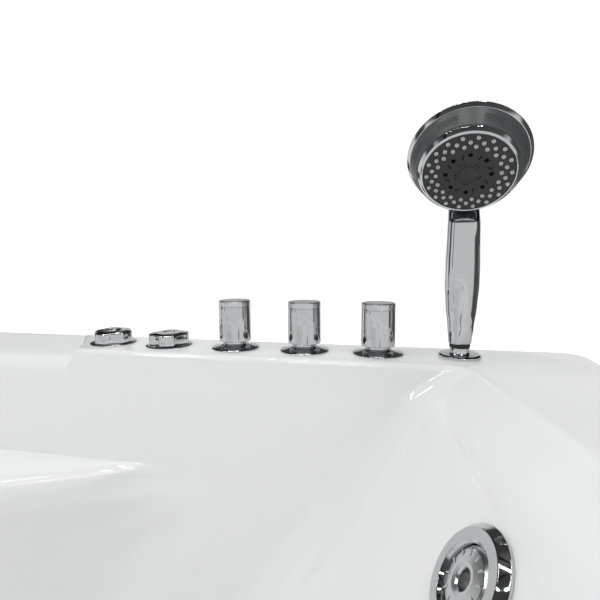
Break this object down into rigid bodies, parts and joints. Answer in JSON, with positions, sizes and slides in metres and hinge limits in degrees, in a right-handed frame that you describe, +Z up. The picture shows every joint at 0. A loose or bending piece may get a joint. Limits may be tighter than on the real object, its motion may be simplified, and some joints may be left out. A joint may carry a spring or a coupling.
{
  "type": "corner jetted bathtub",
  "caption": "Corner jetted bathtub with a curved apron, deck taps, air controls and a hand shower on its square front corner.",
  "frame": {"origin": "on the floor, under the middle of the tub's plan", "axes": "+X along the tub towards the curved front corner's end, +Y from the room side to the wall side, +Z up"},
  "size_m": [1.8, 1.2, 0.8239],
  "materials": {
    "acrylic": "gloss white cast acrylic",
    "chrome": "polished chrome plate",
    "grey_plastic": "satin grey moulding",
    "dark_plastic": "dark grey moulding",
    "nozzle_rubber": "soft grey silicone",
    "brass": "raw turned brass",
    "frame_steel": "grey powder coat",
    "zinc_steel": "zinc plated",
    "plywood": "sealed plywood",
    "white_pipe": "white moulded pipe",
    "clear_pipe": "milky flexible pipe",
    "pump_plastic": "black glass-filled moulding",
    "motor_paint": "dark enamel"
  },
  "bodies": {
    "tub": {"tub_shell": "acrylic", "apron_panel": "acrylic", "handle_flanges": "chrome", "low_flanges": "chrome", "switch_bezel": "chrome", "shower_holder": "chrome", "jet_rings": "chrome", "drain_flange": "chrome", "overflow_flange": "chrome", "suction_cover": "dark_plastic", "shower_gasket": "nozzle_rubber", "valve_bodies": "brass", "valve_crossbar": "brass", "deck_nuts": "brass", "cross_rails": "frame_steel", "long_rails": "frame_steel", "rim_posts": "frame_steel", "pump_mount_plate": "frame_steel", "leveling_feet": "zinc_steel", "foot_locknuts": "zinc_steel", "apron_screws": "zinc_steel", "base_board": "plywood", "water_manifold": "white_pipe", "back_jet_pipes": "white_pipe", "suction_pipe": "white_pipe", "overflow_pipe": "white_pipe", "drain_trap": "white_pipe", "overflow_body": "white_pipe", "jet_bodies": "white_pipe", "jet_nuts": "white_pipe", "suction_body": "white_pipe", "air_regulator": "white_pipe", "switch_body": "white_pipe", "air_pipe": "clear_pipe", "air_drop_pipe": "clear_pipe", "filler_pipe": "clear_pipe", "pump_volute": "pump_plastic", "motor_fan_cover": "pump_plastic", "motor_terminal_box": "pump_plastic", "pump_motor": "motor_paint"},
    "hot_handle": {"hot_handle": "chrome"},
    "diverter_handle": {"diverter_handle": "chrome"},
    "cold_handle": {"cold_handle": "chrome"},
    "air_control": {"air_control_knob": "chrome"},
    "air_switch": {"switch_button": "chrome"},
    "hand_shower": {"shower_grip": "chrome", "shower_head_shell": "chrome"},
    "spray_face": {"spray_selector": "grey_plastic", "spray_bezel": "chrome", "spray_plate": "dark_plastic", "spray_nozzles": "nozzle_rubber"},
    "pump_rotor": {"pump_rotor": "pump_plastic"},
    "drain_plug": {"drain_plug": "chrome"},
    "overflow_rosette": {"overflow_rosette": "chrome"},
    "jet_1": {"jet_nozzle_1": "grey_plastic"},
    "jet_2": {"jet_nozzle_2": "grey_plastic"},
    "jet_3": {"jet_nozzle_3": "grey_plastic"},
    "jet_4": {"jet_nozzle_4": "grey_plastic"},
    "jet_5": {"jet_nozzle_5": "grey_plastic"},
    "jet_6": {"jet_nozzle_6": "grey_plastic"}
  },
  "joints": [
    {"name": "hot_turn", "type": "hinge", "parent": "tub", "child": "hot_handle", "pos_m": [-0.6947, -0.559, 0.63], "axis": [0, 0, 1], "range_deg": [0, 90]},
    {"name": "diverter_turn", "type": "hinge", "parent": "tub", "child": "diverter_handle", "pos_m": [-0.618, -0.559, 0.63], "axis": [0, 0, 1], "range_deg": [-45, 45]},
    {"name": "cold_turn", "type": "hinge", "parent": "tub", "child": "cold_handle", "pos_m": [-0.5409, -0.559, 0.63], "axis": [0, 0, 1], "range_deg": [-90, 0]},
    {"name": "air_turn", "type": "hinge", "parent": "tub", "child": "air_control", "pos_m": [-0.4617, -0.559, 0.608], "axis": [0, 0, 1], "range_deg": [0, 90]},
    {"name": "switch_press", "type": "slide", "parent": "tub", "child": "air_switch", "axis": [0, 0, -1], "range_m": [0, 0.003], "stiffness_N_per_m": 400},
    {"name": "shower_lift", "type": "slide", "parent": "tub", "child": "hand_shower", "axis": [0, 0, 1], "range_m": [0, 0.06]},
    {"name": "spray_turn", "type": "hinge", "parent": "hand_shower", "child": "spray_face", "pos_m": [-0.7696, -0.51524, 0.7694], "axis": [0.0764, 0.7273, -0.682], "range_deg": [0, 90]},
    {"name": "pump_spin", "type": "hinge", "parent": "tub", "child": "pump_rotor", "pos_m": [-0.745, -0.025, 0.23], "axis": [0, 1, 0], "continuous": true},
    {"name": "rosette_turn", "type": "hinge", "parent": "tub", "child": "overflow_rosette", "pos_m": [0.48, 0.49178, 0.51], "axis": [0, -0.9527, 0.304], "range_deg": [0, 90]},
    {"name": "plug_lift", "type": "slide", "parent": "tub", "child": "drain_plug", "axis": [0, 0, 1], "range_m": [0, 0.0101]},
    {"name": "jet_1_turn", "type": "hinge", "parent": "tub", "child": "jet_1", "pos_m": [-0.23, -0.37675, 0.35], "axis": [0, 0.9945, 0.1045], "range_deg": [0, 90]},
    {"name": "jet_2_turn", "type": "hinge", "parent": "tub", "child": "jet_2", "pos_m": [0.07, -0.37675, 0.35], "axis": [0, 0.9945, 0.1045], "range_deg": [0, 90]},
    {"name": "jet_3_turn", "type": "hinge", "parent": "tub", "child": "jet_3", "pos_m": [-0.23, 0.37675, 0.35], "axis": [0, -0.9945, 0.1045], "range_deg": [0, 90]},
    {"name": "jet_4_turn", "type": "hinge", "parent": "tub", "child": "jet_4", "pos_m": [0.07, 0.37675, 0.35], "axis": [0, -0.9945, 0.1045], "range_deg": [0, 90]},
    {"name": "jet_5_turn", "type": "hinge", "parent": "tub", "child": "jet_5", "pos_m": [-0.74984, -0.33, 0.536], "axis": [0.8342, 0.1362, 0.5344], "range_deg": [0, 90]},
    {"name": "jet_6_turn", "type": "hinge", "parent": "tub", "child": "jet_6", "pos_m": [-0.74984, 0.33, 0.536], "axis": [0.8342, -0.1362, 0.5344], "range_deg": [0, 90]}
  ],
  "couplings": [
    {"joint": "plug_lift", "follows": "rosette_turn", "m_per_rad": 0.0063662}
  ]
}
